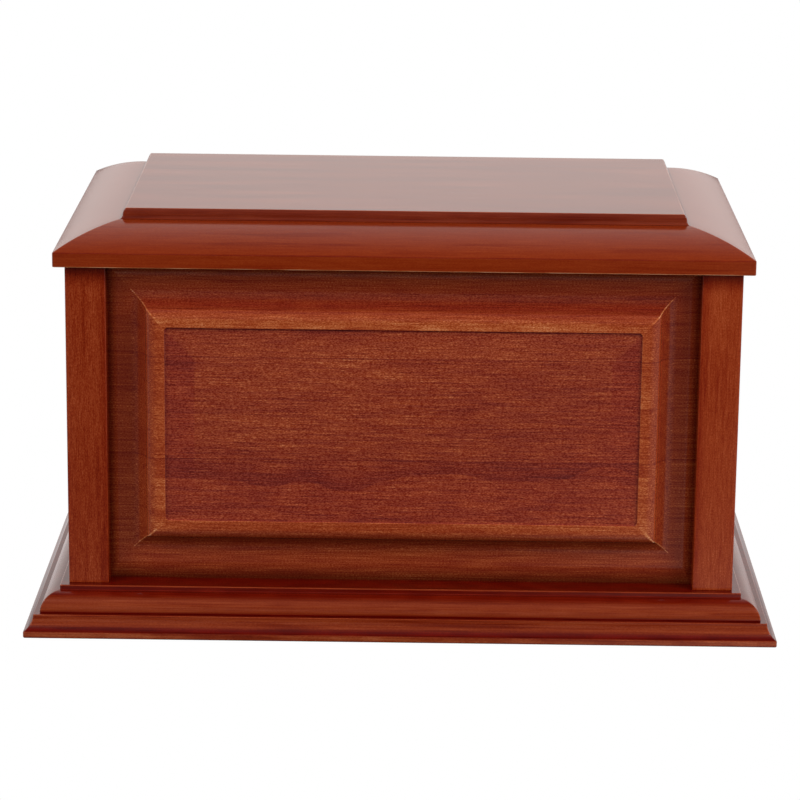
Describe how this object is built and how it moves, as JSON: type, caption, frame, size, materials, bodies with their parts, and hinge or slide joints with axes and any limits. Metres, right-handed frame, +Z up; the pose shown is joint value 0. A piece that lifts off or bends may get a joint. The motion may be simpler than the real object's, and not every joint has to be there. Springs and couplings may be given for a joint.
{
  "type": "cremation urn box",
  "caption": "Hollow wooden urn chest with corner posts, raised panels, a moulded base and a lift-off lid.",
  "frame": {"origin": "middle of the footprint, on the underside of the base, where the box stands", "axes": "+Z up, -Y out of the front that holds the name recess, +X to the right seen from the front"},
  "size_m": [0.2908, 0.1948, 0.1621],
  "materials": {
    "base_wood": "cherry stained dark red, clear semi-gloss lacquer",
    "post_wood": "cherry stained red-brown, clear semi-gloss lacquer, upright grain",
    "panel_wood": "cherry boards glued edge to edge, stained red-brown, clear semi-gloss lacquer",
    "lid_wood": "cherry stained red-brown, clear semi-gloss lacquer",
    "plate_wood": "cherry stained red-brown, clear semi-gloss lacquer"
  },
  "bodies": {
    "root": {"lower_base_board": "base_wood", "upper_base_board": "base_wood", "front_left_post": "post_wood", "front_right_post": "post_wood", "back_left_post": "post_wood", "back_right_post": "post_wood", "front_panel": "panel_wood", "back_panel": "panel_wood", "left_panel": "panel_wood", "right_panel": "panel_wood", "lid_board": "lid_wood", "lid_plate": "plate_wood"}
  },
  "joints": []
}
